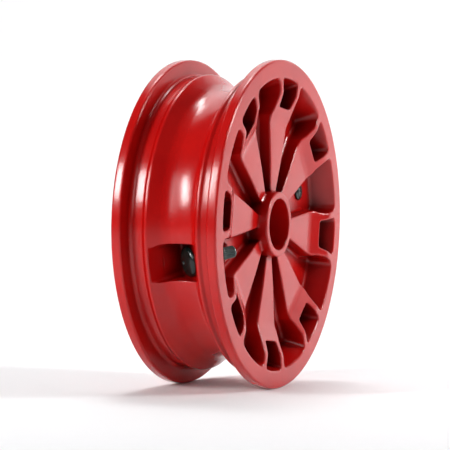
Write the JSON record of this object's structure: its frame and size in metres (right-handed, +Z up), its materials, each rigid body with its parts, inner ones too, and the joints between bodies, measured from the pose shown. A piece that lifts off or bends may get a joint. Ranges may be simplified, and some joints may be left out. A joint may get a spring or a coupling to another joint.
{
  "type": "scooter wheel rim",
  "caption": "Cast red scooter wheel rim for a tubeless tyre, with forked spokes before a full web, a hub tube, a brake drum behind, a rubber plug and a snap-in valve.",
  "frame": {"origin": "the wheel's centre: on the axle's line, midway between the outer and inner faces", "axes": "+Z up, +Y along the axle from the outer face to the brake side, +X to the right seen from outside"},
  "size_m": [0.2812, 0.0932, 0.2812],
  "materials": {
    "red_coat": "cast aluminium under gloss red powder coat",
    "liner_iron": "turned grey iron",
    "bush_steel": "broached steel",
    "rubber": "glossy moulded black rubber",
    "cap_plastic": "black plastic",
    "brass": "turned brass",
    "pin_steel": "drawn steel",
    "seal": "soft seal rubber"
  },
  "bodies": {
    "wheel": {"rim": "red_coat", "web": "red_coat", "hub": "red_coat", "drum_wall": "red_coat", "spoke_1": "red_coat", "spoke_2": "red_coat", "spoke_3": "red_coat", "spoke_4": "red_coat", "spoke_5": "red_coat", "spoke_6": "red_coat", "spoke_7": "red_coat", "spoke_8": "red_coat", "brake_liner": "liner_iron", "splined_bush": "bush_steel", "valve_body": "rubber", "valve_stem": "brass", "core_barrel": "brass", "core_seal": "seal", "core_spring": "pin_steel"},
    "cap": {"valve_cap": "cap_plastic", "cap_seal": "seal"},
    "valve_pin": {"core_pin": "pin_steel", "plunger_seal": "seal"},
    "plug": {"plug": "rubber"}
  },
  "joints": [
    {"name": "cap_off", "type": "slide", "parent": "wheel", "child": "cap", "axis": [0.7087, -0.6691, 0.2235], "range_m": [0, 0.014]},
    {"name": "pin_press", "type": "slide", "parent": "wheel", "child": "valve_pin", "axis": [-0.7087, 0.6691, -0.2235], "range_m": [0, 0.0015], "stiffness_N_per_m": 200, "springref_m": -0.004, "deforming": ["core_spring"]},
    {"name": "plug_out", "type": "slide", "parent": "wheel", "child": "plug", "axis": [0, -1, 0], "range_m": [0, 0.014]}
  ]
}
